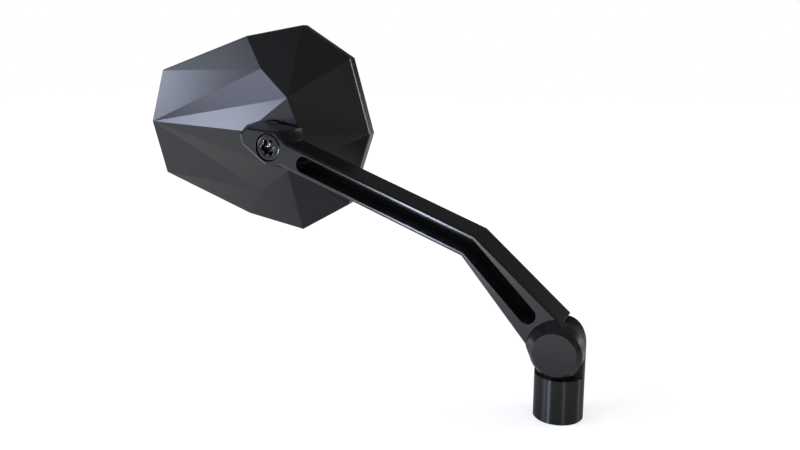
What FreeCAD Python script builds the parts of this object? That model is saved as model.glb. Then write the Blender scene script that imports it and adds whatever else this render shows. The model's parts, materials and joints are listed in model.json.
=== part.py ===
import FreeCAD, Part
import math
import operator
import os
import Sketcher

# Motorcycle bar end mirror, in millimetres and degrees.
# The origin is the centre of the stem's bottom face, with Z up the stem.
# The arm rises towards -X, its screw side faces -Y and the glass faces +Y.

doc = FreeCAD.newDocument("BarEndMirror")
sheet = doc.addObject("Spreadsheet::Sheet", "Sizes")
sheet_rows = []


# A number that also carries the formula which gives it in the sheet
class Size:
    signs = {"+": operator.add, "-": operator.sub, "*": operator.mul, "/": operator.truediv}

    def __init__(self, number, formula):
        self.number = number
        self.formula = formula

    @staticmethod
    def of(thing):
        return thing if isinstance(thing, Size) else Size(float(thing), f"({float(thing)})")

    @staticmethod
    def joined(left, sign, right):
        left = Size.of(left)
        right = Size.of(right)
        number = Size.signs[sign](left.number, right.number)
        return Size(number, f"({left.formula} {sign} {right.formula})")

    def __add__(self, other):
        return Size.joined(self, "+", other)

    def __radd__(self, other):
        return Size.joined(other, "+", self)

    def __sub__(self, other):
        return Size.joined(self, "-", other)

    def __rsub__(self, other):
        return Size.joined(other, "-", self)

    def __mul__(self, other):
        return Size.joined(self, "*", other)

    def __rmul__(self, other):
        return Size.joined(other, "*", self)

    def __truediv__(self, other):
        return Size.joined(self, "/", other)

    def __neg__(self):
        return Size.joined(0, "-", self)


def size(name, number):
    row = len(sheet_rows) + 1
    sheet_rows.append(name)
    sheet.set(f"A{row}", name)
    sheet.set(f"B{row}", str(number))
    sheet.setAlias(f"B{row}", name)
    return Size(float(number), f"Sizes.{name}")


def sine(angle):
    return Size(math.sin(math.radians(angle.number)), f"sin({angle.formula})")


def cosine(angle):
    return Size(math.cos(math.radians(angle.number)), f"cos({angle.formula})")


def tangent(angle):
    return Size(math.tan(math.radians(angle.number)), f"tan({angle.formula})")


def root(square):
    return Size(math.sqrt(square.number), f"sqrt({square.formula})")


# Stem and its ear
stem_radius = size("stem_radius", 11.0)
stem_step = size("stem_step", 20.2)
stem_edge = size("stem_edge", 0.4)
pivot_height = size("pivot_height", 32.5)
ear_front = size("ear_front", 3.0)
stem_thread_radius = size("stem_thread_radius", 3.4)
stem_thread_depth = size("stem_thread_depth", 14.0)

# Arm pivot hardware, along Y from the ear's counterbore to the boss
pivot_screw_radius = size("pivot_screw_radius", 3.0)
pivot_thread_depth = size("pivot_thread_depth", 7.0)
bush_wall = size("bush_wall", 0.95)
bush_play = size("bush_play", 0.05)
ear_wall = size("ear_wall", 5.5)
pivot_bore_radius = size("pivot_bore_radius", 5.6)
pivot_washer_radius = size("pivot_washer_radius", 5.2)
pivot_washer_thick = size("pivot_washer_thick", 1.0)
pivot_spring_rise = size("pivot_spring_rise", 0.9)
pivot_spring_thick = size("pivot_spring_thick", 0.5)
pivot_head_radius = size("pivot_head_radius", 5.0)
pivot_head_length = size("pivot_head_length", 5.0)
pivot_hex_radius = size("pivot_hex_radius", 2.9)
pivot_hex_depth = size("pivot_hex_depth", 2.6)
friction_radius = size("friction_radius", 10.0)
friction_thick = size("friction_thick", 0.4)
friction_play = size("friction_play", 0.05)

# Arm: two straight runs that meet at a bend
arm_front = size("arm_front", 6.9)
arm_back = size("arm_back", 10.7)
arm_rise_angle = size("arm_rise_angle", 46.0)
arm_turn_angle = size("arm_turn_angle", 25.0)
bend_length = size("bend_length", 59.5)
upper_length = size("upper_length", 109.3)
arm_foot_half = size("arm_foot_half", 10.4)
arm_bar_half = size("arm_bar_half", 5.7)
arm_edge = size("arm_edge", 0.9)
slot_half = size("slot_half", 3.9)
slot_depth = size("slot_depth", 13.5)
slot_foot = size("slot_foot", 15.9)
slot_tip = size("slot_tip", 16.8)
eye_radius = size("eye_radius", 11.5)
ear_clearance = size("ear_clearance", 1.5)
boss_radius = size("boss_radius", 9.6)
boss_flare = size("boss_flare", 13.95)
boss_rise = size("boss_rise", 5.95)

# Arm's head end: a faceted block that widens to the back
block_start = size("block_start", 8.6)
block_start_half = size("block_start_half", 5.6)
block_front_shoulder = size("block_front_shoulder", 1.3)
block_front_half = size("block_front_half", 8.65)
block_front_nose = size("block_front_nose", 14.3)
block_front_nose_half = size("block_front_nose_half", 4.3)
block_front_tip = size("block_front_tip", 17.0)
block_back_shoulder = size("block_back_shoulder", 5.3)
block_back_half = size("block_back_half", 11.1)
block_back_nose = size("block_back_nose", 18.5)
block_back_nose_half = size("block_back_nose_half", 5.0)
block_back_tip = size("block_back_tip", 25.0)

# Head screw, which draws the ball stud's foot into the block
head_screw_radius = size("head_screw_radius", 4.0)
head_screw_play = size("head_screw_play", 0.2)
head_screw_head = size("head_screw_head", 6.5)
head_screw_head_length = size("head_screw_head_length", 5.0)
head_screw_edge = size("head_screw_edge", 0.5)
head_screw_sunk = size("head_screw_sunk", 0.4)
counterbore_radius = size("counterbore_radius", 6.9)
head_washer_thick = size("head_washer_thick", 0.8)
lobe_circle = size("lobe_circle", 2.3)
lobe_radius = size("lobe_radius", 0.75)
lobe_depth = size("lobe_depth", 2.6)

# Ball stud: foot, collar, neck and ball
foot_depth = size("foot_depth", 5.0)
foot_radius = size("foot_radius", 6.5)
foot_tip_radius = size("foot_tip_radius", 3.6)
foot_play = size("foot_play", 0.05)
neck_along = size("neck_along", 9.1)
neck_across = size("neck_across", 1.5)
collar_radius = size("collar_radius", 6.5)
collar_length = size("collar_length", 2.3)
collar_edge = size("collar_edge", 0.4)
neck_radius = size("neck_radius", 3.5)
dust_ring_wire = size("dust_ring_wire", 0.55)
ball_radius = size("ball_radius", 6.0)
head_gap = size("head_gap", 3.85)
ball_depth = size("ball_depth", 12.0)

# Ball joint shells, each a spherical zone with a running gap
shell_gap = size("shell_gap", 0.3)
liner_wall = size("liner_wall", 1.2)
cup_wall = size("cup_wall", 1.2)
liner_mouth = size("liner_mouth", 5.0)
cup_mouth = size("cup_mouth", 6.0)
shell_back_mouth = size("shell_back_mouth", 4.2)

# Head: outline at the facets' foot, half of it, from the pointed end
head_yaw = size("head_yaw", 8.0)
head_pitch = size("head_pitch", 2.0)
head_roll = size("head_roll", 91.6)
nose_corner_along = size("nose_corner_along", 8.05)
nose_corner_half = size("nose_corner_half", 28.5)
cheek_along = size("cheek_along", 58.9)
cheek_half = size("cheek_half", 48.0)
crown_along = size("crown_along", 90.6)
crown_half = size("crown_half", 54.3)
tail_along = size("tail_along", 116.8)
tail_half = size("tail_half", 38.4)
head_length = size("head_length", 128.3)
low_peak_along = size("low_peak_along", 72.4)
low_peak_half = size("low_peak_half", 31.9)
low_peak_rise = size("low_peak_rise", 11.9)
high_peak_along = size("high_peak_along", 91.5)
high_peak_half = size("high_peak_half", 18.6)
ridge_start_along = size("ridge_start_along", 66.75)
ridge_start_rise = size("ridge_start_rise", 17.9)
ridge_end_along = size("ridge_end_along", 100.15)
ridge_end_rise = size("ridge_end_rise", 24.25)
neck_station = size("neck_station", 84.8)
rim_depth = size("rim_depth", 7.0)

# Head shell, socket boss and posts
rim_wall = size("rim_wall", 2.0)
ledge_width = size("ledge_width", 2.5)
ledge_depth = size("ledge_depth", 1.6)
facet_drop = size("facet_drop", 3.2)
socket_boss_radius = size("socket_boss_radius", 16.5)
socket_boss_back = size("socket_boss_back", 1.5)
socket_mouth = size("socket_mouth", 7.3)
post_radius = size("post_radius", 3.2)
front_post_along = size("front_post_along", 30.0)
front_post_half = size("front_post_half", 12.0)
rear_post_along = size("rear_post_along", 103.0)
rear_post_half = size("rear_post_half", 26.0)
carrier_screw_radius = size("carrier_screw_radius", 1.25)
carrier_screw_reach = size("carrier_screw_reach", 4.4)
carrier_screw_head = size("carrier_screw_head", 2.3)
carrier_screw_sink = size("carrier_screw_sink", 1.2)

# Retainer that presses the ball into its seat
retainer_gap = size("retainer_gap", 0.3)
retainer_flange = size("retainer_flange", 3.0)
retainer_collar = size("retainer_collar", 11.6)
retainer_depth = size("retainer_depth", 5.7)
retainer_mouth = size("retainer_mouth", 5.5)
retainer_screw_radius = size("retainer_screw_radius", 1.5)
retainer_screw_circle = size("retainer_screw_circle", 14.2)
retainer_screw_reach = size("retainer_screw_reach", 7.0)
retainer_screw_head = size("retainer_screw_head", 2.5)
retainer_screw_head_length = size("retainer_screw_head_length", 2.0)
retainer_spring_rise = size("retainer_spring_rise", 1.0)
retainer_spring_thick = size("retainer_spring_thick", 0.5)
retainer_play = size("retainer_play", 0.1)
retainer_screw_count = 3

# Mirror glass, bonded to a carrier inside a rubber frame
seal_width = size("seal_width", 1.2)
seal_sunk = size("seal_sunk", 0.8)
glass_sunk = size("glass_sunk", 0.3)
glass_thick = size("glass_thick", 2.0)
glass_curve = size("glass_curve", 1200.0)
glass_centre_along = size("glass_centre_along", 62.0)
pad_thick = size("pad_thick", 0.5)

doc.recompute()

nodes = {}
flatness = 1e-4


# Small drawing and binding helpers
def bind(target, name, amount):
    target.setExpression(name, Size.of(amount).formula)


def place(target, across, depth, up):
    target.Placement = FreeCAD.Placement(vector(across, depth, up), FreeCAD.Rotation())
    bind(target, "Placement.Base.x", across)
    bind(target, "Placement.Base.y", depth)
    bind(target, "Placement.Base.z", up)


def vector(*amounts):
    return FreeCAD.Vector(*[Size.of(amount).number for amount in amounts])


def new_body(label):
    body = doc.addObject("PartDesign::Body", label + "_body")
    return body


def origin_plane(body, role):
    return next(plane for plane in body.Origin.OriginFeatures if plane.Role == role)


def new_sketch(body, name, role="XZ_Plane", offset=0):
    sketch = body.newObject("Sketcher::SketchObject", name)
    sketch.AttachmentSupport = [(origin_plane(body, role), "")]
    sketch.MapMode = "FlatFace"
    bind(sketch, "AttachmentOffset.Base.z", offset)
    return sketch


def pin(sketch, geometry, end, corner):
    for kind, amount in zip(("DistanceX", "DistanceY"), corner):
        amount = Size.of(amount)
        rule = Sketcher.Constraint(kind, -1, 1, geometry, end, amount.number)
        index = sketch.addConstraint(rule)
        sketch.setExpression(f"Constraints[{index}]", amount.formula)


def draw_polygon(sketch, corners):
    points = [vector(across, up, 0) for across, up in corners]
    first = sketch.GeometryCount
    for place_in_row, point in enumerate(points):
        following = points[(place_in_row + 1) % len(points)]
        sketch.addGeometry(Part.LineSegment(point, following), False)
    for place_in_row, corner in enumerate(corners):
        before = first + (place_in_row - 1) % len(points)
        here = first + place_in_row
        sketch.addConstraint(Sketcher.Constraint("Coincident", before, 2, here, 1))
        pin(sketch, here, 1, corner)


def draw_circle(sketch, centre, radius):
    radius = Size.of(radius)
    ring = Part.Circle(vector(centre[0], centre[1], 0), FreeCAD.Vector(0, 0, 1), radius.number)
    index = sketch.addGeometry(ring, False)
    pin(sketch, index, 3, centre)
    rule = sketch.addConstraint(Sketcher.Constraint("Radius", index, radius.number))
    sketch.setExpression(f"Constraints[{rule}]", radius.formula)


def add_pad(body, sketch, length, name):
    pad = body.newObject("PartDesign::Pad", name)
    pad.Profile = sketch
    bind(pad, "Length", length)
    doc.recompute()
    return pad


def cut_pocket(body, sketch, depth, name, towards_front=False):
    before = body.Shape.Volume
    pocket = body.newObject("PartDesign::Pocket", name)
    pocket.Profile = sketch
    pocket.Reversed = towards_front
    bind(pocket, "Length", depth)
    doc.recompute()
    if body.Shape.Volume >= before:
        raise RuntimeError(f"{name} removes nothing")
    return pocket


def turn_profile(body, corners, name, role="XY_Plane"):
    sketch = new_sketch(body, name + "_profile", role)
    draw_polygon(sketch, corners)
    turned = body.newObject("PartDesign::Revolution", name)
    turned.Profile = sketch
    turned.ReferenceAxis = (sketch, ["V_Axis"])
    turned.Angle = 360
    doc.recompute()
    return turned


def cylinder(name, radius, length, centre=(0, 0, 0), along_y=False):
    solid = doc.addObject("Part::Cylinder", name)
    bind(solid, "Radius", radius)
    bind(solid, "Height", length)
    turn = FreeCAD.Rotation(FreeCAD.Vector(1, 0, 0), -90) if along_y else FreeCAD.Rotation()
    solid.Placement = FreeCAD.Placement(vector(*centre), turn)
    for axis, amount in zip("xyz", centre):
        bind(solid, f"Placement.Base.{axis}", amount)
    return solid


def cone(name, radius_low, radius_high, length, centre=(0, 0, 0)):
    solid = doc.addObject("Part::Cone", name)
    bind(solid, "Radius1", radius_low)
    bind(solid, "Radius2", radius_high)
    bind(solid, "Height", length)
    place(solid, *centre)
    return solid


def sphere(name, radius, centre=(0, 0, 0)):
    solid = doc.addObject("Part::Sphere", name)
    bind(solid, "Radius", radius)
    place(solid, *centre)
    return solid


def box(name, length, width, height, corner):
    solid = doc.addObject("Part::Box", name)
    bind(solid, "Length", length)
    bind(solid, "Width", width)
    bind(solid, "Height", height)
    place(solid, *corner)
    return solid


def fuse(name, solids):
    joined = doc.addObject("Part::MultiFuse", name)
    joined.Shapes = solids
    return joined


def common(name, solids):
    shared = doc.addObject("Part::MultiCommon", name)
    shared.Shapes = solids
    return shared


def cut(name, base, tools):
    result = doc.addObject("Part::Cut", name)
    result.Base = base
    result.Tool = tools[0] if len(tools) == 1 else fuse(name + "_tools", tools)
    return result


def finish(label, solid):
    solid.Label = label
    nodes[label] = solid


# Places on the arm's centreline, from the pivot, as X and Z
tip_rise = arm_rise_angle - arm_turn_angle


def on_lower(along, across):
    right = across * sine(arm_rise_angle) - along * cosine(arm_rise_angle)
    up = along * sine(arm_rise_angle) + across * cosine(arm_rise_angle)
    return right, up


def on_upper(along, across):
    bend = on_lower(bend_length, Size.of(0))
    right = bend[0] - along * cosine(tip_rise) + across * sine(tip_rise)
    up = bend[1] + along * sine(tip_rise) + across * cosine(tip_rise)
    return right, up


def on_block(along, across):
    return on_upper(upper_length + along, Size.of(across))


def mitre(half):
    return half * tangent(arm_turn_angle / 2)


def in_space(point):
    return point[0], pivot_height + point[1]


zero = Size.of(0)
screw_place = on_block(zero, zero)
neck_place = on_block(neck_along, neck_across)
eye_back = ear_front + friction_thick + 2 * friction_play
bush_outer = pivot_screw_radius + bush_play + bush_wall
pivot_seat = ear_wall - ear_front


# Stem: a round bar, halved above the step to leave the rounded ear
def build_stem():
    top = pivot_height + stem_radius
    width = 2 * stem_radius
    round_bar = fuse("stem_bar", [
        cone("stem_foot", stem_radius - stem_edge, stem_radius, stem_edge),
        cylinder("stem_round", stem_radius, top - stem_edge, (0, 0, stem_edge)),
    ])
    ear_head = cylinder("ear_head", stem_radius, width, (0, -stem_radius, pivot_height), True)
    ear_body = box("ear_body", width, width, pivot_height, (-stem_radius, -stem_radius, 0))
    rounded = common("stem_rounded", [round_bar, fuse("ear_outline", [ear_head, ear_body])])
    tools = [
        box("ear_cut", width, stem_radius - ear_front, top, (-stem_radius, -stem_radius, stem_step)),
        cylinder("ear_bore", bush_outer, width, (0, -stem_radius, pivot_height), True),
        cylinder("ear_counterbore", pivot_bore_radius, stem_radius, (0, pivot_seat, pivot_height), True),
        cylinder("stem_thread", stem_thread_radius, stem_thread_depth),
    ]
    finish("base_stem", cut("stem_cut", rounded, tools))


# Ring with its axis along Y, for bushes and flat washers
def build_ring(label, outer, inner, length, across, depth, up):
    blank = cylinder(label + "_blank", outer, length, (across, depth, up), True)
    hole = cylinder(label + "_hole", inner, length, (across, depth, up), True)
    finish(label, cut(label + "_ring", blank, [hole]))


# Coned spring washer: its section leans from the inner to the outer edge
def coned_section(inner, outer, rise, thick):
    return [
        (inner, rise - thick),
        (outer, zero),
        (outer, thick),
        (inner, rise),
    ]


def build_pivot_hardware():
    washer_back = pivot_seat + pivot_washer_thick
    head_seat = washer_back + pivot_spring_rise
    inner = pivot_screw_radius + bush_play
    build_ring("pivot_bush", bush_outer, inner, ear_wall, 0, -ear_front, pivot_height)
    friction_front = -(ear_front + friction_play + friction_thick)
    build_ring("pivot_friction_washer", friction_radius, inner, friction_thick, 0, friction_front, pivot_height)
    build_ring("pivot_washer", pivot_washer_radius, inner, pivot_washer_thick, 0, pivot_seat, pivot_height)

    spring = new_body("pivot_disc_spring")
    section = coned_section(inner, pivot_washer_radius, pivot_spring_rise, pivot_spring_thick)
    turn_profile(spring, section, "pivot_spring_turned")
    place(spring, 0, washer_back, pivot_height)
    finish("pivot_disc_spring", spring)

    screw = new_body("pivot_screw")
    shank = head_seat + eye_back + pivot_thread_depth
    turn_profile(screw, [
        (zero, -shank),
        (pivot_screw_radius, -shank),
        (pivot_screw_radius, zero),
        (pivot_head_radius, zero),
        (pivot_head_radius, pivot_head_length - stem_edge),
        (pivot_head_radius - stem_edge, pivot_head_length),
        (zero, pivot_head_length),
    ], "pivot_screw_turned")
    socket = new_sketch(screw, "pivot_screw_socket", offset=-pivot_head_length)
    draw_polygon(socket, hexagon(pivot_hex_radius))
    cut_pocket(screw, socket, pivot_hex_depth, "pivot_screw_hex", towards_front=True)
    place(screw, 0, head_seat, pivot_height)
    finish("pivot_screw", screw)


def hexagon(radius):
    corners = []
    for step in range(6):
        angle = math.radians(60 * step)
        corners.append((radius * math.cos(angle), radius * math.sin(angle)))
    return corners


# Arm outline pieces, each a list of corners as X and Z from the pivot
def bar_outline():
    start = -block_start
    return [
        on_lower(zero, arm_foot_half),
        on_upper(-mitre(arm_bar_half), arm_bar_half),
        on_block(start, block_start_half),
        on_block(start, -block_start_half),
        on_upper(mitre(arm_bar_half), -arm_bar_half),
        on_lower(zero, -arm_foot_half),
    ]


def block_outline(shoulder, half, nose, nose_half, tip):
    return [
        on_block(-block_start, block_start_half),
        on_block(-shoulder, half),
        on_block(nose, nose_half),
        on_block(tip, zero),
        on_block(nose, -nose_half),
        on_block(-shoulder, -half),
        on_block(-block_start, -block_start_half),
    ]


def slot_outline(foot, tip):
    return [
        on_lower(foot, slot_half),
        on_upper(-mitre(slot_half), slot_half),
        on_upper(tip, slot_half),
        on_upper(tip, -slot_half),
        on_upper(mitre(slot_half), -slot_half),
        on_lower(foot, -slot_half),
    ]


# Half width of the tapering lower run at a distance from the pivot
def lower_half(along):
    return arm_foot_half - (arm_foot_half - arm_bar_half) * along / bend_length


# Names of the edges that lie in one plane across Y
def front_edges(shape, depth):
    names = []
    for index, edge in enumerate(shape.Edges, 1):
        spread = edge.BoundBox
        if spread.YLength < flatness and abs(spread.Center.y + depth) < flatness:
            names.append(f"Edge{index}")
    return names


def build_arm():
    body = new_body("mirror_arm")
    bar = new_sketch(body, "bar_outline", offset=-arm_back)
    draw_polygon(bar, bar_outline())
    add_pad(body, bar, arm_front + arm_back, "bar")

    back = new_sketch(body, "block_back", offset=-arm_back)
    draw_polygon(back, block_outline(
        block_back_shoulder, block_back_half, block_back_nose, block_back_nose_half, block_back_tip))
    front = new_sketch(body, "block_front", offset=arm_front)
    draw_polygon(front, block_outline(
        block_front_shoulder, block_front_half, block_front_nose, block_front_nose_half, block_front_tip))
    block = body.newObject("PartDesign::AdditiveLoft", "block")
    block.Profile = back
    block.Sections = [front]
    block.Ruled = True
    doc.recompute()

    edge = body.newObject("PartDesign::Chamfer", "front_edge")
    edge.Base = (block, front_edges(block.Shape, arm_front.number))
    bind(edge, "Size", arm_edge)
    doc.recompute()

    build_boss(body)
    cut_slot(body)
    cut_pivot(body)
    cut_block(body)
    place(body, 0, 0, pivot_height)
    finish("mirror_arm", body)


# Pivot boss: the arm's outline carried forward, then turned to a cone with a flat end
def build_boss(body):
    boss_front = arm_front + boss_rise
    eye = new_sketch(body, "eye_outline", offset=eye_back)
    draw_circle(eye, (0, 0), eye_radius)
    add_pad(body, eye, boss_front - eye_back, "eye")
    reach = boss_flare + boss_rise
    heel = new_sketch(body, "boss_heel_outline", offset=arm_front)
    draw_polygon(heel, lower_outline(reach))
    add_pad(body, heel, boss_rise, "boss_heel")
    edge_reach = root(boss_flare * boss_flare - arm_foot_half * arm_foot_half)
    filler = new_sketch(body, "boss_edge_outline", offset=arm_front - arm_edge)
    draw_polygon(filler, lower_outline(edge_reach))
    add_pad(body, filler, arm_edge, "boss_edge")

    around = new_sketch(body, "boss_cone_profile", "XY_Plane")
    draw_polygon(around, [
        (boss_flare, -arm_front),
        (boss_flare + reach, -arm_front),
        (boss_flare + reach, -boss_front - boss_rise),
        (boss_radius, -boss_front - boss_rise),
        (boss_radius, -boss_front),
    ])
    before = body.Shape.Volume
    turned = body.newObject("PartDesign::Groove", "boss_cone")
    turned.Profile = around
    turned.ReferenceAxis = (around, ["V_Axis"])
    turned.Angle = 360
    doc.recompute()
    if body.Shape.Volume >= before:
        raise RuntimeError("boss_cone removes nothing")


def lower_outline(reach):
    half = lower_half(reach)
    return [
        on_lower(zero, arm_foot_half),
        on_lower(reach, half),
        on_lower(reach, -half),
        on_lower(zero, -arm_foot_half),
    ]


# Blind slot along both runs, with round ends
def cut_slot(body):
    foot = slot_foot + slot_half
    tip = upper_length - slot_tip - slot_half
    middle = new_sketch(body, "slot_outline", offset=arm_front)
    draw_polygon(middle, slot_outline(foot, tip))
    cut_pocket(body, middle, slot_depth, "slot")
    ends = new_sketch(body, "slot_ends_outline", offset=arm_front)
    draw_circle(ends, on_lower(foot, zero), slot_half)
    draw_circle(ends, on_upper(tip, zero), slot_half)
    cut_pocket(body, ends, slot_depth, "slot_ends")


# Rebate for the ear, and the thread that takes the pivot screw
def cut_pivot(body):
    rebate = new_sketch(body, "ear_rebate_outline", offset=-arm_back)
    draw_circle(rebate, (0, 0), stem_radius + ear_clearance)
    cut_pocket(body, rebate, arm_back + eye_back, "ear_rebate", towards_front=True)
    thread = new_sketch(body, "pivot_thread_outline", offset=eye_back)
    draw_circle(thread, (0, 0), pivot_screw_radius)
    cut_pocket(body, thread, pivot_thread_depth, "pivot_thread", towards_front=True)


# Counterbore, screw hole and the pocket for the ball stud's foot
def cut_block(body):
    bore_depth = head_screw_sunk + head_screw_head_length + head_washer_thick
    bore = new_sketch(body, "counterbore_outline", offset=arm_front)
    draw_circle(bore, screw_place, counterbore_radius)
    cut_pocket(body, bore, bore_depth, "counterbore")
    hole = new_sketch(body, "screw_hole_outline", offset=arm_front)
    draw_circle(hole, screw_place, head_screw_radius + head_screw_play)
    cut_pocket(body, hole, arm_front + arm_back, "screw_hole")
    for number, (name, draw) in enumerate(foot_shapes(screw_place, neck_place, foot_play)):
        pocket = new_sketch(body, f"foot_pocket_{name}", offset=-arm_back)
        draw(pocket)
        cut_pocket(body, pocket, foot_depth + foot_play, f"foot_pocket_cut_{number}", towards_front=True)


# The foot is two rounds joined by their common tangents
def foot_shapes(screw, neck, play):
    big = foot_radius + play
    small = foot_tip_radius + play
    run = (neck[0] - screw[0], neck[1] - screw[1])
    length_squared = run[0] * run[0] + run[1] * run[1]
    lean = (big - small) / length_squared
    side = root(length_squared - (big - small) * (big - small)) / length_squared
    corners = []
    for centre, radius, turn in ((screw, big, 1), (neck, small, 1), (neck, small, -1), (screw, big, -1)):
        across = lean * run[0] - turn * side * run[1]
        up = lean * run[1] + turn * side * run[0]
        corners.append((centre[0] + radius * across, centre[1] + radius * up))
    return [
        ("bridge", lambda sketch: draw_polygon(sketch, corners)),
        ("round", lambda sketch: draw_circle(sketch, screw, big)),
        ("tip", lambda sketch: draw_circle(sketch, neck, small)),
    ]


def build_head_screw():
    screw = new_body("head_screw")
    reach = arm_front + arm_back - head_screw_sunk - head_screw_head_length
    turn_profile(screw, [
        (zero, -head_screw_head_length),
        (head_screw_head - head_screw_edge, -head_screw_head_length),
        (head_screw_head, head_screw_edge - head_screw_head_length),
        (head_screw_head, zero),
        (head_screw_radius, zero),
        (head_screw_radius, reach),
        (zero, reach),
    ], "head_screw_turned")
    centre = new_sketch(screw, "recess_centre_outline", offset=head_screw_head_length)
    draw_circle(centre, (0, 0), lobe_circle)
    cut_pocket(screw, centre, lobe_depth, "recess_centre")
    lobe_sketch = new_sketch(screw, "recess_lobe_outline", offset=head_screw_head_length)
    draw_circle(lobe_sketch, (lobe_circle, 0), lobe_radius)
    lobe = cut_pocket(screw, lobe_sketch, lobe_depth, "recess_lobe")
    pattern = screw.newObject("PartDesign::PolarPattern", "recess_lobes")
    pattern.Originals = [lobe]
    pattern.Axis = (centre, ["N_Axis"])
    pattern.Angle = 360
    pattern.Occurrences = 6
    screw.Tip = pattern
    doc.recompute()
    across, up = in_space(screw_place)
    seat = -(arm_front - head_screw_sunk - head_screw_head_length)
    place(screw, across, seat, up)
    finish("head_screw", screw)
    build_ring("head_screw_washer", head_screw_head, head_screw_radius + head_screw_play,
               head_washer_thick, across, seat, up)


# Ball stud in one piece: foot, collar, neck and ball, drawn from its place on the arm's back
stud_reach = head_gap + ball_depth


def build_ball_stud():
    stud = new_body("ball_stud")
    screw = (screw_place[0] - neck_place[0], screw_place[1] - neck_place[1])
    for name, draw in foot_shapes(screw, (zero, zero), zero):
        outline = new_sketch(stud, f"foot_{name}_outline")
        draw(outline)
        add_pad(stud, outline, foot_depth, f"foot_{name}")
    turn_profile(stud, [
        (zero, -foot_depth / 2),
        (neck_radius, -foot_depth / 2),
        (neck_radius, zero),
        (collar_radius, zero),
        (collar_radius, collar_length - collar_edge),
        (collar_radius - collar_edge, collar_length),
        (neck_radius, collar_length),
        (neck_radius, stud_reach),
        (zero, stud_reach),
    ], "stud_neck")
    ball = stud.newObject("PartDesign::AdditiveSphere", "stud_ball")
    ball.AttachmentSupport = [(origin_plane(stud, "XY_Plane"), "")]
    ball.MapMode = "FlatFace"
    bind(ball, "Radius", ball_radius)
    bind(ball, "AttachmentOffset.Base.y", stud_reach)
    doc.recompute()
    hole = new_sketch(stud, "foot_thread_outline")
    draw_circle(hole, screw, head_screw_radius)
    cut_pocket(stud, hole, foot_depth + collar_length, "foot_thread", towards_front=True)
    across, up = in_space(neck_place)
    place(stud, across, arm_back, up)
    finish("ball_stud", stud)

    ring = doc.addObject("Part::Torus", "dust_ring")
    bind(ring, "Radius1", neck_radius + dust_ring_wire)
    bind(ring, "Radius2", dust_ring_wire)
    ring.Placement = FreeCAD.Placement(FreeCAD.Vector(), FreeCAD.Rotation(FreeCAD.Vector(1, 0, 0), -90))
    bind(ring, "Placement.Base.x", across)
    bind(ring, "Placement.Base.y", arm_back + collar_length + dust_ring_wire)
    bind(ring, "Placement.Base.z", up)
    finish("neck_dust_ring", ring)


# Plateau: the kite-shaped flat that lies along the ridge, where the neck enters the head
ridge_slope = (ridge_end_rise - ridge_start_rise) / (ridge_end_along - ridge_start_along)
plateau_tilt = math.degrees(math.atan(ridge_slope.number))


def ridge_rise(along):
    return ridge_start_rise + (along - ridge_start_along) * ridge_slope


# Placements of the head and of its socket, both tied to the ball's centre
def head_placements():
    across, up = in_space(neck_place)
    ball_centre = vector(across, arm_back + stud_reach, up)
    turn = FreeCAD.Rotation(head_yaw.number, head_pitch.number, head_roll.number)
    tilt = FreeCAD.Rotation(FreeCAD.Vector(0, 1, 0), -plateau_tilt)
    mouth = vector(neck_station, 0, ridge_rise(neck_station))
    ball_in_head = mouth - tilt.multVec(FreeCAD.Vector(0, 0, ball_depth.number))
    head = FreeCAD.Placement(ball_centre - turn.multVec(ball_in_head), turn)
    socket_in_head = FreeCAD.Placement(ball_in_head, tilt)
    return head, socket_in_head


head_place, socket_in_head = head_placements()
socket_place = head_place.multiply(socket_in_head)
socket_radius = ball_radius + liner_wall + cup_wall + 3 * shell_gap


# Spherical zone with an open mouth on the neck's side and a smaller one behind
def build_zone(label, inner, wall, mouth):
    outer = inner + wall
    zone = cut(label + "_zone", sphere(label + "_outer", outer), [
        sphere(label + "_inner", inner),
        cylinder(label + "_mouth", mouth, 2 * outer, (0, 0, 0)),
        cylinder(label + "_back", shell_back_mouth, 2 * outer, (0, 0, -2 * outer)),
    ])
    zone.Placement = socket_place
    finish(label, zone)


def build_ball_shells():
    liner_inner = ball_radius + shell_gap
    build_zone("ball_liner", liner_inner, liner_wall, liner_mouth)
    build_zone("ball_cup", liner_inner + liner_wall + shell_gap, cup_wall, cup_mouth)


# Corners of the head in its own frame: along, across and rise above the facets' foot
def head_corners():
    high_peak_rise = ridge_rise(high_peak_along)
    half = {
        "nose_corner": (nose_corner_along, nose_corner_half, 0),
        "cheek": (cheek_along, cheek_half, 0),
        "crown": (crown_along, crown_half, 0),
        "tail": (tail_along, tail_half, 0),
        "low_peak": (low_peak_along, low_peak_half, low_peak_rise),
        "high_peak": (high_peak_along, high_peak_half, high_peak_rise),
    }
    corners = {
        "nose": vector(0, 0, 0),
        "end": vector(head_length, 0, 0),
        "ridge_start": vector(ridge_start_along, 0, ridge_start_rise),
        "ridge_end": vector(ridge_end_along, 0, ridge_end_rise),
    }
    for name, (along, across, rise) in half.items():
        corners[name] = vector(along, across, rise)
        corners[name + "_low"] = vector(along, -Size.of(across), rise)
    return corners


rim_order = ["nose", "nose_corner_low", "cheek_low", "crown_low", "tail_low",
             "end", "tail", "crown", "cheek", "nose_corner"]

# Facets of one half, each a row of corners; the other half mirrors them
half_facets = [
    ("nose_corner", "cheek", "low_peak"),
    ("nose", "nose_corner", "low_peak"),
    ("nose", "low_peak", "high_peak"),
    ("nose", "high_peak", "ridge_start"),
    ("cheek", "crown", "low_peak"),
    ("crown", "high_peak", "low_peak"),
    ("crown", "tail", "high_peak"),
    ("tail", "end", "high_peak"),
    ("end", "ridge_end", "high_peak"),
]


def flat_face(points):
    return Part.Face(Part.makePolygon(points + points[:1]))


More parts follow.
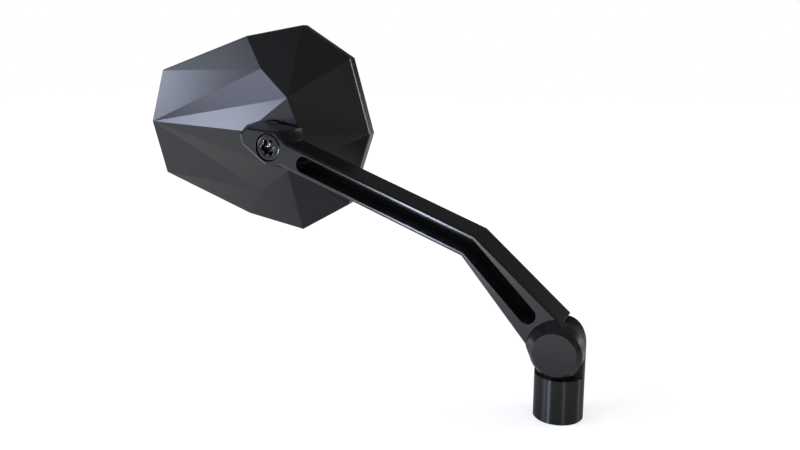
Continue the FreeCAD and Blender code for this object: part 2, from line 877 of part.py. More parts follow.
# Faceted blank: the facets, the plateau, the rim's wall and its open side closed flat
def faceted_blank():
    corners = head_corners()
    faces = []
    for facet in half_facets:
        faces.append(flat_face([corners[name] for name in facet]))
        mirrored = [FreeCAD.Vector(corners[name].x, -corners[name].y, corners[name].z) for name in facet]
        faces.append(flat_face(mirrored))
    plateau = ("ridge_start", "high_peak", "ridge_end", "high_peak_low")
    faces.append(flat_face([corners[name] for name in plateau]))
    rim = [corners[name] for name in rim_order]
    down = FreeCAD.Vector(0, 0, -rim_depth.number)
    for start, stop in zip(rim, rim[1:] + rim[:1]):
        faces.append(flat_face([start, stop, stop + down, start + down]))
    faces.append(flat_face([point + down for point in rim]))
    return Part.Solid(Part.Shell(faces))


# Prism on the head's outline, drawn in by an inset, between two heights
def outline_prism(name, inset, low, high):
    corners = head_corners()
    rim = [corners[corner] for corner in rim_order]
    wire = Part.makePolygon(rim + rim[:1])
    inner = wire.makeOffset2D(-Size.of(inset).number, join=2)
    low = Size.of(low).number
    inner.translate(FreeCAD.Vector(0, 0, low - inner.BoundBox.ZMin))
    rise = FreeCAD.Vector(0, 0, Size.of(high).number - low)
    prism = doc.addObject("Part::Feature", name)
    prism.Shape = Part.Face(inner).extrude(rise)
    return prism


def post_places():
    for along, half in ((front_post_along, front_post_half), (rear_post_along, rear_post_half)):
        for across in (half, -half):
            yield along, across


def retainer_screw_places():
    for number in range(retainer_screw_count):
        angle = math.radians(90 + 360 * number / retainer_screw_count)
        yield retainer_screw_circle * math.cos(angle), retainer_screw_circle * math.sin(angle)


# Group of primitives in the socket's frame, moved into the head's frame
def in_socket(solid):
    solid.Placement = socket_in_head
    return solid


def build_housing():
    blank = doc.addObject("Part::Feature", "faceted_blank")
    blank.Shape = faceted_blank()
    dropped = doc.addObject("Part::Feature", "faceted_hollow")
    dropped.Shape = faceted_blank()
    dropped.Placement.Base = vector(0, 0, -facet_drop)
    top = ridge_end_rise + rim_depth
    well = outline_prism("hollow_well", rim_wall + ledge_width, -rim_depth, top)
    hollow = common("hollow", [dropped, well])
    recess = outline_prism("glass_recess", rim_wall, -rim_depth, -ledge_depth)
    shell = cut("shell", blank, [hollow, recess])

    boss_length = socket_boss_back + ball_depth
    boss = in_socket(fuse("socket_boss", [
        cylinder("boss_round", socket_boss_radius, boss_length, (0, 0, -socket_boss_back)),
    ] + [
        cylinder(f"boss_pad_{number}", post_radius, boss_length, (along, across, -socket_boss_back))
        for number, (along, across) in enumerate(retainer_screw_places())
    ]))
    posts = fuse("posts", [
        cylinder(f"post_{number}", post_radius, top, (along, across, -ledge_depth))
        for number, (along, across) in enumerate(post_places())
    ])
    trimmed = common("boss_and_posts", [blank_copy("blank_for_posts"), fuse("inner_bosses", [boss, posts])])

    socket = in_socket(fuse("socket_cavity", [
        sphere("socket_ball", socket_radius),
        cylinder("socket_back", socket_radius, 2 * socket_boss_back, (0, 0, -2 * socket_boss_back)),
        cylinder("socket_opening", socket_mouth, 2 * ball_depth, (0, 0, 0)),
    ] + [
        cylinder(f"boss_thread_{number}", retainer_screw_radius,
                 retainer_screw_reach + socket_boss_back, (along, across, -2 * socket_boss_back))
        for number, (along, across) in enumerate(retainer_screw_places())
    ]))
    threads = [
        cylinder(f"post_thread_{number}", carrier_screw_radius, carrier_screw_reach + ledge_depth,
                 (along, across, -2 * ledge_depth))
        for number, (along, across) in enumerate(post_places())
    ]
    housing = cut("housing_cut", fuse("housing_blank", [shell, trimmed]), [socket] + threads)
    housing.Placement = head_place
    finish("mirror_housing", housing)


def blank_copy(name):
    copy = doc.addObject("Part::Feature", name)
    copy.Shape = faceted_blank()
    return copy


# Retainer: a flanged ring whose seat carries on the socket's sphere behind the ball
def build_retainer():
    face = socket_boss_back + retainer_gap
    back = face + retainer_depth
    blank = fuse("retainer_blank", [
        cylinder("retainer_plate", socket_boss_radius, retainer_flange, (0, 0, -(face + retainer_flange))),
        cylinder("retainer_neck", retainer_collar, retainer_depth, (0, 0, -back)),
    ] + [
        cylinder(f"retainer_ear_{number}", post_radius, retainer_flange,
                 (along, across, -(face + retainer_flange)))
        for number, (along, across) in enumerate(retainer_screw_places())
    ])
    holes = [
        cylinder(f"retainer_hole_{number}", retainer_screw_radius + retainer_play,
                 retainer_flange, (along, across, -(face + retainer_flange)))
        for number, (along, across) in enumerate(retainer_screw_places())
    ]
    retainer = cut("retainer_cut", blank, [
        sphere("retainer_seat", socket_radius),
        cylinder("retainer_opening", retainer_mouth, back, (0, 0, -back)),
    ] + holes)
    retainer.Placement = socket_place
    finish("socket_retainer", retainer)

    spring_seat = face + retainer_flange
    head_seat = spring_seat + retainer_spring_rise
    screws = []
    springs = []
    for number, (along, across) in enumerate(retainer_screw_places()):
        shank = retainer_screw_reach - socket_boss_back + head_seat
        screws.append(cylinder(f"retainer_shank_{number}", retainer_screw_radius, shank,
                               (along, across, -head_seat)))
        screws.append(cylinder(f"retainer_head_{number}", retainer_screw_head, retainer_screw_head_length,
                               (along, across, -(head_seat + retainer_screw_head_length))))
        spring = new_body(f"retainer_spring_{number}")
        section = coned_section(retainer_screw_radius + retainer_play, retainer_screw_head,
                                -retainer_spring_rise, -retainer_spring_thick)
        turn_profile(spring, section, f"retainer_spring_turned_{number}", "XZ_Plane")
        place(spring, along, across, -spring_seat)
        springs.append(spring)
    screw_group = fuse("retainer_screw_group", screws)
    screw_group.Placement = socket_place
    finish("retainer_screws", screw_group)
    spring_group = doc.addObject("Part::Compound", "retainer_spring_group")
    spring_group.Links = springs
    spring_group.Placement = socket_place
    finish("retainer_disc_springs", spring_group)


# Glass, pad and carrier share one bent face, so each is a layer between two spheres
def build_glass():
    edge = rim_wall + seal_width
    apex = rim_depth - glass_sunk
    centre = (glass_centre_along, 0, glass_curve - apex)
    pad_curve = glass_curve - glass_thick
    carrier_curve = pad_curve - pad_thick

    def layer(label, outer, inner):
        prism = outline_prism(label + "_prism", edge, -rim_depth, -ledge_depth)
        outside = common(label + "_outside", [prism, sphere(label + "_outer", outer, centre)])
        bent = cut(label + "_bent", outside, [sphere(label + "_inner", inner, centre)])
        bent.Placement = head_place
        finish(label, bent)

    layer("mirror_glass", glass_curve, pad_curve)
    layer("adhesive_pad", pad_curve, carrier_curve)

    prism = outline_prism("carrier_prism", edge, -rim_depth, -ledge_depth)
    plate = common("carrier_plate", [prism, sphere("carrier_outer", carrier_curve, centre)])
    screws = []
    sinks = []
    for number, (along, across) in enumerate(post_places()):
        base = -(ledge_depth + carrier_screw_sink)
        shank = carrier_screw_sink + carrier_screw_reach
        screws.append(cone(f"carrier_head_{number}", carrier_screw_head, carrier_screw_radius,
                           carrier_screw_sink, (along, across, base)))
        screws.append(cylinder(f"carrier_shank_{number}", carrier_screw_radius, shank,
                               (along, across, base)))
        sinks.append(cone(f"carrier_sink_{number}", carrier_screw_head, carrier_screw_radius,
                          carrier_screw_sink, (along, across, base)))
        sinks.append(cylinder(f"carrier_well_{number}", carrier_screw_head, rim_depth,
                              (along, across, base - rim_depth)))
    carrier = cut("carrier_cut", plate, sinks)
    carrier.Placement = head_place
    finish("glass_carrier", carrier)
    screw_group = fuse("carrier_screw_group", screws)
    screw_group.Placement = head_place
    finish("carrier_screws", screw_group)

    outer = outline_prism("seal_outer", rim_wall, seal_sunk - rim_depth, -ledge_depth)
    inner = outline_prism("seal_inner", edge, -rim_depth, zero)
    seal = cut("seal_cut", outer, [inner])
    seal.Placement = head_place
    finish("rim_seal", seal)


build_stem()
build_pivot_hardware()
build_arm()
build_head_screw()
build_ball_stud()
build_ball_shells()
build_housing()
build_retainer()
build_glass()
doc.recompute()

for item in doc.Objects:
    if "Invalid" in item.State or "Error" in item.State:
        raise RuntimeError(f"{item.Name} did not build: {item.State}")

os.makedirs("parts", exist_ok=True)
for label, solid in nodes.items():
    if solid.Shape.isNull() or not solid.Shape.isValid():
        raise RuntimeError(f"{label} has no valid shape")
    solid.Shape.exportStep(f"parts/{label}.step")
    print(label, len(solid.Shape.Solids), round(solid.Shape.Volume, 1))
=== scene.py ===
import json
import math

import bmesh
import bpy
from mathutils import Matrix, Vector


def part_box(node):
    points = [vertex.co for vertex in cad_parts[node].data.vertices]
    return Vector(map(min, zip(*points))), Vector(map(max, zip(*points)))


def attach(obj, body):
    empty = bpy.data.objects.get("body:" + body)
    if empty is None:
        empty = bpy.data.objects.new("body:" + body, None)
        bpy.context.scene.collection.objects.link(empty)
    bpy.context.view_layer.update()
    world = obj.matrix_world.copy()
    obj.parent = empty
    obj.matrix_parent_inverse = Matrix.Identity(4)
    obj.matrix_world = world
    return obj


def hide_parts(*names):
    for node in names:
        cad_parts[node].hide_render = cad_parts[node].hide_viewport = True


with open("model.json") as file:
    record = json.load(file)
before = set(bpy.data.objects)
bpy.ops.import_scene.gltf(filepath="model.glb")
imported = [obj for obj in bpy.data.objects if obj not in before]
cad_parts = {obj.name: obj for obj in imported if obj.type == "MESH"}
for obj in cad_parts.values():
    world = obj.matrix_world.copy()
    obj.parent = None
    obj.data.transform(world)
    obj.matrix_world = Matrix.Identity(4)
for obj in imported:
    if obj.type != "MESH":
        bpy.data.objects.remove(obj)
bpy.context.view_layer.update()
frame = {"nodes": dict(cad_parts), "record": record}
print("frame loaded:", len(frame["nodes"]), "nodes")


# One output of a node. Sums on it add Math nodes to the same tree.
class Signal:
    def __init__(self, shading, socket):
        self.shading = shading
        self.socket = socket

    def combine(self, operation, *values):
        return self.shading.add("Math", {"operation": operation}, dict(enumerate(values)))

    def __add__(self, other):
        return self.combine("ADD", self, other)

    def __sub__(self, other):
        return self.combine("SUBTRACT", self, other)

    def __rsub__(self, other):
        return self.combine("SUBTRACT", other, self)

    def __mul__(self, other):
        return self.combine("MULTIPLY", self, other)

    __radd__ = __add__
    __rmul__ = __mul__

    def most(self, other):
        return self.combine("MAXIMUM", self, other)

    # 0 below low, 1 above high, and straight between them
    def rising(self, low, high):
        ends = {"Value": self, "From Min": low, "From Max": high}
        return self.shading.add("MapRange", {"clamp": True}, ends)

    # One of the three numbers of a vector
    def part(self, axis):
        return self.shading.add("SeparateXYZ", {}, {"Vector": self}, axis)


# The node tree of one material or of the world
class Shading:
    def __init__(self, owner):
        owner.use_nodes = True
        self.tree = owner.node_tree
        self.tree.nodes.clear()

    # Adds any node: its settings come first, then the values or links of its sockets
    def add(self, kind, settings, sockets, output=0):
        node = self.tree.nodes.new("ShaderNode" + kind)
        for name, value in settings.items():
            setattr(node, name, value)
        for name, value in sockets.items():
            if isinstance(value, Signal):
                self.tree.links.new(value.socket, node.inputs[name])
            elif isinstance(value, tuple) and node.inputs[name].type == "RGBA":
                node.inputs[name].default_value = (*value, 1)
            else:
                node.inputs[name].default_value = value
        if not node.outputs:
            return None
        return Signal(self, node.outputs[output])

    def place(self):
        return self.add("TexCoord", {}, {}, "Object")

    def noise(self, scale, detail=2.0, roughness=0.5, stretch=None):
        where = self.place()
        if stretch:
            where = self.add("Mapping", {}, {"Vector": where, "Scale": stretch})
        sockets = {"Vector": where, "Scale": scale, "Detail": detail, "Roughness": roughness}
        return self.add("TexNoise", {}, sockets)

    # Colour mix: 6 and 7 are the two colours of the node, and its third output is the result
    def blend(self, factor, first, second):
        return self.add("Mix", {"data_type": "RGBA"}, {0: factor, 6: first, 7: second}, 2)

    # The normal as if the edges were rounded
    def rounded(self, radius):
        return self.add("Bevel", {"samples": 4}, {"Radius": radius})

    # 1 on the edges and 0 away from them: sharp and flat are cosines of how far rounding turns the normal
    def edges(self, radius, sharp=0.72, flat=0.98):
        face = self.add("NewGeometry", {}, {}, "Normal")
        both = {0: self.rounded(radius), 1: face}
        turned = self.add("VectorMath", {"operation": "DOT_PRODUCT"}, both, "Value")
        return 1.0 - turned.rising(sharp, flat)

    def bump(self, height, distance, strength, normal):
        sockets = {"Height": height, "Distance": distance, "Strength": strength, "Normal": normal}
        return self.add("Bump", {}, sockets)

    def finish(self, shader, kind="OutputMaterial"):
        self.add(kind, {}, {"Surface": shader})


def newMaterial(name):
    material = bpy.data.materials.new(name)
    return material, Shading(material)


# Metal, coated or bare: fine grain, slow changes of sheen, and edges rubbed a little lighter.
# It is turned or brushed too where its look says so.
def metalFinish(name, look):
    material, shading = newMaterial(name)
    grain = shading.noise(look["grainScale"], detail=3.0, roughness=0.6)
    clouds = shading.noise(look["cloudScale"], detail=3.0)
    rub = shading.edges(look["edgeRadius"]) * shading.noise(look["rubScale"]).rising(*look["rubPatches"])
    tone = shading.blend(clouds.rising(*look["cloudPatches"]), look["colour"], look["otherColour"])
    sheen = look["roughness"] + (clouds - 0.5) * look["sheenChange"]
    sheen = sheen + (grain - 0.5) * look["grainSheen"] - rub * look["rubSheen"]
    height = grain
    sockets = {
        "Base Color": shading.blend(rub * look["rubAmount"], tone, look["rubColour"]),
        "Metallic": look["metallic"],
        "Specular IOR Level": look["gloss"],
    }
    if "turnedScale" in look:
        rings = shading.noise(look["turnedScale"], detail=1.0, stretch=(0.0, 0.0, 1.0))
        height = grain * look["turnedGrain"] + rings
        sockets["Anisotropic"] = look["streak"]
        sockets["Anisotropic Rotation"] = look["streakTurn"]
    if "brushedScale" in look:
        strokes = shading.noise(look["brushedScale"], roughness=0.6, stretch=(1.0, 0.04, 1.0))
        height = grain * look["brushedGrain"] + strokes
        sheen = sheen + (strokes - 0.5) * look["brushedSheen"]
    sockets["Roughness"] = sheen
    sockets["Normal"] = shading.bump(
        height, look["grainDepth"], look["grainStrength"], shading.rounded(look["edgeRadius"]))
    shading.finish(shading.add("BsdfPrincipled", {}, sockets))
    return material


# Moulded plastic or rubber: spark-eroded grain and a faint bloom
def mouldedFinish(name, look):
    material, shading = newMaterial(name)
    grain = shading.add("TexVoronoi", {"feature": "SMOOTH_F1"}, {
        "Vector": shading.place(), "Scale": look["grainScale"], "Smoothness": look["grainSmooth"]})
    clouds = shading.noise(look["cloudScale"], detail=3.0)
    tone = shading.blend(clouds.rising(*look["cloudPatches"]), look["colour"], look["otherColour"])
    shading.finish(shading.add("BsdfPrincipled", {}, {
        "Base Color": tone,
        "Roughness": look["roughness"] + (clouds - 0.5) * look["sheenChange"],
        "Specular IOR Level": look["gloss"],
        "Normal": shading.bump(
            grain, look["grainDepth"], look["grainStrength"], shading.rounded(look["edgeRadius"])),
    }))
    return material


# Silvered glass: bright, with a breath of dust and fine wiping marks
def mirrorFinish(name, look):
    material, shading = newMaterial(name)
    dust = shading.noise(look["dustScale"], detail=4.0, roughness=0.7).rising(*look["dustPatches"])
    wipes = shading.noise(look["wipeScale"], stretch=(1.0, 1.0, 0.1))
    shading.finish(shading.add("BsdfPrincipled", {}, {
        "Base Color": shading.blend(dust * look["dustAmount"], look["colour"], look["dustColour"]),
        "Metallic": 1.0,
        "Roughness": look["roughness"] + dust * look["dustSheen"] + (wipes - 0.5) * look["wipeSheen"],
        "Coat Weight": look["coat"],
        "Coat Roughness": look["coatRoughness"],
    }))
    return material


blackMetal = {
    "colour": (0.0062, 0.0064, 0.0070),
    "otherColour": (0.0050, 0.0052, 0.0058),
    "cloudScale": 70.0,
    "cloudPatches": (0.35, 0.65),
    "rubColour": (0.030, 0.031, 0.034),
    "rubAmount": 0.55,
    "rubScale": 260.0,
    "rubPatches": (0.35, 0.7),
    "edgeRadius": 0.00025,
    "grainScale": 5200.0,
    "grainDepth": 0.000012,
    "grainStrength": 0.6,
    "metallic": 0.0,
    "gloss": 0.5,
    "roughness": 0.23,
    "sheenChange": 0.03,
    "grainSheen": 0.04,
    "rubSheen": 0.08,
}
brightMetal = {
    **blackMetal,
    "colour": (0.62, 0.62, 0.64),
    "otherColour": (0.52, 0.52, 0.54),
    "cloudScale": 180.0,
    "rubColour": (0.75, 0.75, 0.76),
    "rubAmount": 0.5,
    "rubScale": 400.0,
    "edgeRadius": 0.00015,
    "grainScale": 7000.0,
    "grainDepth": 0.000004,
    "metallic": 1.0,
    "roughness": 0.2,
    "sheenChange": 0.06,
}
moulded = {
    "cloudPatches": (0.3, 0.7),
    "sheenChange": 0.1,
    "grainSmooth": 0.6,
    "grainStrength": 0.7,
}
finishes = {
    "black_anodised": metalFinish("satin_black_anodising", blackMetal),
    "black_shell": metalFinish("satin_black_coat", {
        **blackMetal, "grainScale": 3800.0, "cloudScale": 45.0, "roughness": 0.2}),
    "black_steel": metalFinish("blackened_steel", {
        **blackMetal, "colour": (0.016, 0.015, 0.015), "otherColour": (0.011, 0.011, 0.012),
        "rubColour": (0.16, 0.15, 0.15), "cloudScale": 220.0, "roughness": 0.3}),
    "bright_steel": metalFinish("dark_polished_steel", {
        **brightMetal, "colour": (0.055, 0.055, 0.058), "otherColour": (0.04, 0.04, 0.043),
        "rubColour": (0.3, 0.3, 0.31), "roughness": 0.12}),
    "zinc_steel": metalFinish("zinc_plating", {
        **brightMetal, "colour": (0.5, 0.51, 0.55), "otherColour": (0.4, 0.41, 0.44), "roughness": 0.32}),
    "spring_steel": metalFinish("tempered_spring_steel", {
        **brightMetal, "colour": (0.26, 0.23, 0.2), "otherColour": (0.17, 0.15, 0.15), "roughness": 0.3,
        "brushedScale": 1500.0, "brushedGrain": 0.4, "brushedSheen": 0.15}),
    "bronze": metalFinish("sintered_bronze", {
        **brightMetal, "colour": (0.42, 0.24, 0.09), "otherColour": (0.3, 0.16, 0.06),
        "rubColour": (0.6, 0.4, 0.18), "grainDepth": 0.00003, "grainScale": 3000.0, "roughness": 0.38}),
    "bearing_plastic": mouldedFinish("pale_bearing_plastic", {
        **moulded, "colour": (0.62, 0.6, 0.54), "otherColour": (0.54, 0.52, 0.46), "cloudScale": 120.0,
        "grainScale": 2500.0, "grainDepth": 0.00001, "edgeRadius": 0.0002, "roughness": 0.42, "gloss": 0.5}),
    "black_plastic": mouldedFinish("moulded_black_plastic", {
        **moulded, "colour": (0.012, 0.012, 0.013), "otherColour": (0.017, 0.017, 0.018), "cloudScale": 60.0,
        "grainScale": 2200.0, "grainDepth": 0.00003, "edgeRadius": 0.0003, "roughness": 0.55, "gloss": 0.4}),
    "adhesive_foam": mouldedFinish("foam_adhesive", {
        **moulded, "colour": (0.03, 0.03, 0.031), "otherColour": (0.05, 0.05, 0.052), "cloudScale": 300.0,
        "grainScale": 1600.0, "grainDepth": 0.00012, "edgeRadius": 0.0002, "roughness": 0.85, "gloss": 0.3}),
    "rubber": mouldedFinish("black_rubber", {
        **moulded, "colour": (0.01, 0.01, 0.01), "otherColour": (0.016, 0.016, 0.016), "cloudScale": 90.0,
        "grainScale": 2600.0, "grainDepth": 0.00002, "edgeRadius": 0.0003, "roughness": 0.62, "gloss": 0.35}),
    "mirror": mirrorFinish("silvered_glass", {
        "colour": (0.86, 0.89, 0.89), "roughness": 0.015, "coat": 0.5, "coatRoughness": 0.02,
        "dustColour": (0.6, 0.61, 0.6), "dustAmount": 0.35, "dustScale": 900.0, "dustPatches": (0.62, 0.8),
        "dustSheen": 0.12, "wipeScale": 300.0, "wipeSheen": 0.01}),
    # The stem is turned on a lathe, so it has fine rings round it and a streak of light up its side
    "turned_stem": metalFinish("turned_black_anodising", {
        **blackMetal, "grainDepth": 0.000004, "roughness": 0.36,
        "turnedScale": 9000.0, "turnedGrain": 0.5, "streak": 1.0, "streakTurn": 0.25}),
}
print("finishes made:", len(finishes))

# Each CAD node wears the finish of its slot, apart from those named here
ownFinish = {"base_stem": "turned_stem"}
for part in frame["record"]["subparts"]:
    finishName = ownFinish.get(part["node"], part["material_slot"])
    for slot in frame["nodes"][part["node"]].material_slots:
        slot.material = finishes[finishName]

mergeWithin = 1e-6


# A CAD node's loose triangles, merged into one closed mesh
def mergedCopy(nodeName):
    mesh = bmesh.new()
    mesh.from_mesh(frame["nodes"][nodeName].data)
    bmesh.ops.remove_doubles(mesh, verts=mesh.verts, dist=mergeWithin)
    return mesh


def newObject(name, mesh, material):
    data = bpy.data.meshes.new(name)
    mesh.to_mesh(data)
    mesh.free()
    data.materials.append(material)
    thing = bpy.data.objects.new(name, data)
    bpy.context.scene.collection.objects.link(thing)
    return thing


# A bmesh becomes an object with its finish, on its body and in its slot
def makePiece(name, mesh, finishName, body, smooth=True):
    piece = newObject(name, mesh, finishes[finishName])
    piece.data.polygons.foreach_set("use_smooth", [smooth] * len(piece.data.polygons))
    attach(piece, body)
    return piece


stemThread = {
    "wallRadius": 0.0034,
    "ridgeHeight": 0.00042,
    "rooted": 0.00002,      # how far the ridge's foot goes into the wall
    "pitch": 0.00125,
    "footHalf": 0.44,       # half of the ridge's foot and of its crest, as shares of the pitch
    "crestHalf": 0.1,
    "turns": 10,
    "start": 0.0006,
    "stepsPerTurn": 40,
}


# The thread inside the stem: a ridge that winds up the wall of the hole
def makeStemThread(look):
    mesh = bmesh.new()
    root = look["wallRadius"] + look["rooted"]
    top = look["wallRadius"] - look["ridgeHeight"]
    foot = look["pitch"] * look["footHalf"]
    crest = look["pitch"] * look["crestHalf"]
    outline = [(root, -foot), (root, foot), (top, crest), (top, -crest)]
    corners = [mesh.verts.new((across, 0, look["start"] + foot + up)) for across, up in outline]
    face = mesh.faces.new(corners)
    bmesh.ops.spin(
        mesh, geom=[face, *face.edges, *face.verts], cent=(0, 0, 0), axis=(0, 0, 1),
        dvec=(0, 0, look["pitch"] / look["stepsPerTurn"]), angle=math.tau * look["turns"],
        steps=look["turns"] * look["stepsPerTurn"])
    bmesh.ops.remove_doubles(mesh, verts=mesh.verts, dist=mergeWithin)
    bmesh.ops.recalc_face_normals(mesh, faces=mesh.faces)
    makePiece("stem_thread_ridge", mesh, "black_anodised", "stem")


makeStemThread(stemThread)
print("thread wound")

# Head screw: a low head with a six-lobed recess, from rings that are bridged one to the next
headScrew = {
    "lobes": 6,
    "lobeSwell": 0.00055,
    "segments": 120,
    "rings": [
        # radius, distance behind the head's front, share of the lobes' swell
        (0.0040, 0.0170, 0), (0.0040, 0.0052, 0), (0.0044, 0.0050, 0), (0.0061, 0.0050, 0),
        (0.00665, 0.0046, 0), (0.00665, 0.0007, 0), (0.00656, 0.00042, 0), (0.00636, 0.00018, 0),
        (0.0060, 0.00004, 0), (0.0056, 0.00001, 0), (0.0049, 0.00003, 0), (0.0042, 0.00005, 0.7),
        (0.0037, 0.00008, 1), (0.00354, 0.00015, 1), (0.00344, 0.00028, 1), (0.00338, 0.00048, 1),
        (0.00328, 0.0026, 1), (0.0024, 0.0030, 0.3), (0.0009, 0.0034, 0),
    ],
}


def makeHeadScrew(look):
    low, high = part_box("head_screw")
    centre = (low + high) / 2
    mesh = bmesh.new()
    before = None
    for radius, depth, share in look["rings"]:
        made = bmesh.ops.create_circle(mesh, cap_ends=False, segments=look["segments"], radius=radius)
        ring = made["verts"]
        for vert in ring:
            turn = math.atan2(vert.co.y, vert.co.x)
            vert.co *= 1 + share * look["lobeSwell"] / radius * math.cos(look["lobes"] * turn)
            vert.co.z = depth
        edges = list({edge for vert in ring for edge in vert.link_edges})
        if before:
            bmesh.ops.bridge_loops(mesh, edges=before + edges)
        else:
            bmesh.ops.contextual_create(mesh, geom=edges)
        before = edges
    bmesh.ops.contextual_create(mesh, geom=before)
    bmesh.ops.recalc_face_normals(mesh, faces=mesh.faces)
    alongArm = Matrix.Rotation(math.radians(-90), 4, "X")
    toHead = Matrix.Translation((centre.x, low.y, centre.z))
    bmesh.ops.transform(mesh, matrix=toHead @ alongArm, verts=mesh.verts)
    screw = makePiece("head_screw_lobed", mesh, "bright_steel", "arm")
    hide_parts("head_screw")


makeHeadScrew(headScrew)
print("head screw made")

# Head housing: the cast shell with its rim and the edges of its facets broken
housingEdges = {
    "rimWidth": 0.0009,
    "rimSegments": 1,
    "ridgeWidth": 0.00015,
    "ridgeSegments": 2,
    "flatWithin": 0.5,      # degrees between triangles that are one facet
    "gentlest": 4.0,        # a ridge under these degrees, or under this length, is left as it is
    "shortest": 0.004,
    "facetFront": 0.3,      # a facet looks at least this far to the front, and the rim's wall less than this
    "wallFront": 0.25,
}


def makeHousing(look):
    mesh = mergedCopy("mirror_housing")
    bmesh.ops.dissolve_limit(
        mesh, angle_limit=math.radians(look["flatWithin"]), verts=mesh.verts, edges=mesh.edges)
    mesh.normal_update()
    rim, ridges = [], []
    for edge in mesh.edges:
        if not edge.is_manifold or edge.calc_length() < look["shortest"]:
            continue
        front, side = sorted(edge.link_faces, key=lambda face: face.normal.y)
        if front.normal.y > -look["facetFront"]:
            continue
        if abs(side.normal.y) < look["wallFront"]:
            rim.append(edge)
        elif side.normal.y < 0 and edge.calc_face_angle() > math.radians(look["gentlest"]):
            ridges.append(edge)
    broken = {"offset_type": "WIDTH", "affect": "EDGES", "profile": 0.5, "material": -1}
    bmesh.ops.bevel(mesh, geom=rim, offset=look["rimWidth"], segments=look["rimSegments"], **broken)
    ridges = [edge for edge in ridges if edge.is_valid]
    bmesh.ops.bevel(mesh, geom=ridges, offset=look["ridgeWidth"], segments=look["ridgeSegments"], **broken)
    housing = makePiece("mirror_housing_edged", mesh, "black_shell", "head", smooth=False)
    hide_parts("mirror_housing")


makeHousing(housingEdges)
print("housing edged")

# Mirror glass: its curved face gets an even normal all over, and its rim stays a sharp cut
mirrorGlass = {
    "smoothBelow": 30.0,    # degrees
}


def makeGlass(look):
    mesh = mergedCopy("mirror_glass")
    bmesh.ops.recalc_face_normals(mesh, faces=mesh.faces)
    for edge in mesh.edges:
        edge.smooth = edge.calc_face_angle(0) < math.radians(look["smoothBelow"])
    glass = makePiece("mirror_glass_even", mesh, "mirror", "head")
    # The normals that come with the frame's mesh are wrong at the sphere's pole
    givenNormals = glass.data.attributes.get("custom_normal")
    if givenNormals:
        glass.data.attributes.remove(givenNormals)
    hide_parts("mirror_glass")


makeGlass(mirrorGlass)
print("glass evened")

pureWhite = (1.0, 1.0, 1.0)


# Rays from the camera, from metal and from glass
def seeingRays(shading):
    kinds = ("Is Camera Ray", "Is Glossy Ray", "Is Transmission Ray")
    return [shading.add("LightPath", {}, {}, kind) for kind in kinds]


paleFloor = {
    "width": 6.0,
    "colour": (0.8, 0.8, 0.8),
    "nearGlow": (0.6, 0.6, 0.6),
    "farGlow": (0.72, 0.72, 0.72),
    "glowReach": (0.25, 1.2),
    "backdrop": (0.3, 0.9),         # where metal and glass see it white behind the object, along +Y
    "front": (-0.05, -0.13),        # in front of the object, along -Y
    "left": (-0.15, -0.35),         # and to its left, along -X
    "frontReach": (0.75, 1.2),      # how far out the front and the left fade, and by how much
    "frontFade": 0.7,
}


# Floor, white to the camera, and to metal and glass in the places that the values give
def makeFloor(look):
    mesh = bmesh.new()
    bmesh.ops.create_grid(mesh, x_segments=1, y_segments=1, size=look["width"] / 2)
    material, shading = newMaterial("pale_floor")
    place = shading.place()
    distance = shading.add("VectorMath", {"operation": "LENGTH"}, {0: place}, "Value")
    across, along = place.part(0), place.part(1)
    near = along.rising(*look["front"]).most(across.rising(*look["left"]))
    near = near * (1.0 - distance.rising(*look["frontReach"]) * look["frontFade"])
    seen = along.rising(*look["backdrop"]).most(near)
    camera, metal, glass = seeingRays(shading)
    white = camera.most(metal.most(glass) * seen)
    glowColour = shading.blend(distance.rising(*look["glowReach"]), look["nearGlow"], look["farGlow"])
    paint = shading.add("BsdfDiffuse", {}, {"Color": look["colour"]})
    glow = shading.add("Emission", {}, {"Color": glowColour, "Strength": 1.0})
    lifted = shading.add("AddShader", {}, {0: paint, 1: glow})
    shading.finish(shading.add("MixShader", {}, {0: white, 1: paint, 2: lifted}))
    newObject("floor", mesh, material)


studioRoom = {
    "skyColour": (0.4, 0.4, 0.405),
    "frontLevel": 0.17,             # what metal and glass see in front of the object, and high behind it
    "highLevel": 0.06,
    "backdropSide": (0.25, 0.6),    # where the backdrop begins, by direction
    "backdropTop": (0.0, 0.14),
}


# The backdrop stands behind the object: metal and glass see it there, and the dim studio elsewhere
def makeWorld(look):
    world = bpy.data.worlds.new("studio")
    bpy.context.scene.world = world
    shading = Shading(world)
    direction = shading.add("TexCoord", {}, {}, "Generated")
    behind = direction.part(1).rising(*look["backdropSide"])
    low = 1.0 - direction.part(2).rising(*look["backdropTop"])
    dim = look["frontLevel"] + behind * (look["highLevel"] - look["frontLevel"])
    camera, metal, glass = seeingRays(shading)
    level = camera.most(behind * low).most(dim)
    plain = shading.add("Background", {}, {"Color": look["skyColour"], "Strength": 1.0})
    white = shading.add("Background", {}, {"Color": pureWhite, "Strength": level})
    mixed = shading.add("MixShader", {}, {0: camera.most(metal).most(glass), 1: plain, 2: white})
    shading.finish(mixed, "OutputWorld")


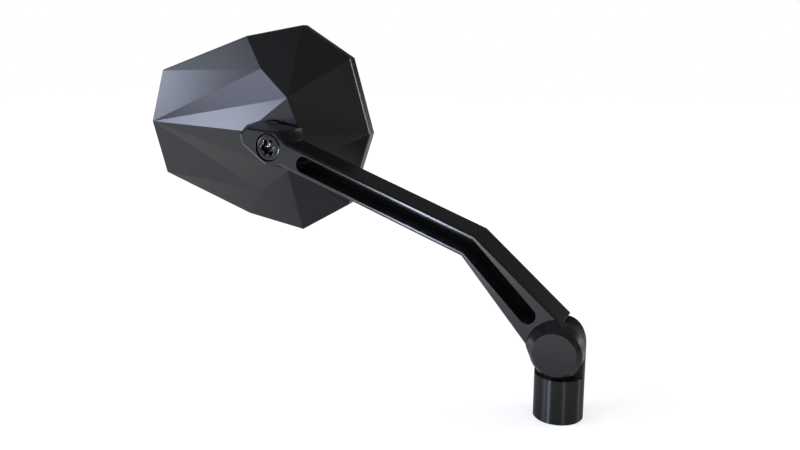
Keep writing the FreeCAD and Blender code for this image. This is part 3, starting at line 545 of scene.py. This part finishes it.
# Lamps by direction from what they are aimed at: azimuth from -Y towards +X and height, in degrees
coolWhite = (0.68, 0.7, 1.0)
paleWhite = (0.72, 0.82, 1.0)
warmWhite = (1.0, 0.96, 0.87)
objectAim = (-0.13, 0.01, 0.1)
stemAim = (0.0, 0.0, 0.02)
lamps = {
    "softboxLeft": {
        "aim": objectAim, "azimuth": -49.5, "height": 17, "distance": 2.5,
        "size": (1.26, 1.8), "power": 14.2, "colour": coolWhite},
    "softboxCore": {
        "aim": objectAim, "azimuth": -50.5, "height": 3.2, "distance": 2.5,
        "size": (0.44, 0.36), "power": 6.0, "colour": paleWhite},
    "leftHigh": {
        "aim": objectAim, "azimuth": -62, "height": 32, "distance": 2.5,
        "size": (1.0, 1.0), "power": 7.6, "colour": paleWhite},
    "rightFill": {
        "aim": objectAim, "azimuth": 62, "height": 20, "distance": 2.5,
        "size": (1.4, 1.4), "power": 0.9, "colour": warmWhite},
    "rightBehind": {
        "aim": objectAim, "azimuth": 114, "height": 16, "distance": 2.5,
        "size": (0.24, 0.5), "power": 10.0, "colour": pureWhite},
    "stemLeft": {
        "aim": stemAim, "azimuth": -30, "height": 4, "distance": 0.35,
        "size": (0.055, 0.055), "power": 0.5, "colour": paleWhite},
    "stemRight": {
        "aim": stemAim, "azimuth": 35, "height": 4, "distance": 0.6,
        "size": (0.08, 0.08), "power": 0.4, "colour": warmWhite},
}


def makeLamp(name, look):
    light = bpy.data.lights.new(name, "AREA")
    light.shape = "RECTANGLE"
    light.size, light.size_y = look["size"]
    light.energy = look["power"]
    light.color = look["colour"]
    lamp = bpy.data.objects.new(name, light)
    turn, height = math.radians(look["azimuth"]), math.radians(look["height"])
    flat = math.cos(height)
    back = Vector((math.sin(turn) * flat, -math.cos(turn) * flat, math.sin(height)))
    lamp.location = Vector(look["aim"]) + back * look["distance"]
    lamp.rotation_euler = back.to_track_quat("Z", "Y").to_euler()
    lamp.visible_camera = False
    bpy.context.scene.collection.objects.link(lamp)


makeFloor(paleFloor)
makeWorld(studioRoom)
for lampName, lampLook in lamps.items():
    makeLamp(lampName, lampLook)
print("studio lit:", len(lamps), "lamps")

# The photo's angle: where the camera stands, how far it is turned and tipped, and its lens in mm
photoCamera = {
    "position": (0.06758, -0.33304, 0.15489),
    "azimuth": 23.45,
    "lookDown": 11.57,
    "lens": 35.86,
    "sensor": 36.0,
    "nearest": 0.01,
}


def makeCamera(look):
    data = bpy.data.cameras.new("photo_view")
    data.lens = look["lens"]
    data.sensor_width = look["sensor"]
    data.clip_start = look["nearest"]
    viewer = bpy.data.objects.new("photo_view", data)
    viewer.location = look["position"]
    viewer.rotation_euler = (math.radians(90 - look["lookDown"]), 0, math.radians(look["azimuth"]))
    bpy.context.scene.collection.objects.link(viewer)
    bpy.context.scene.camera = viewer


makeCamera(photoCamera)
bpy.context.scene.view_settings.view_transform = "Standard"
print("camera set")
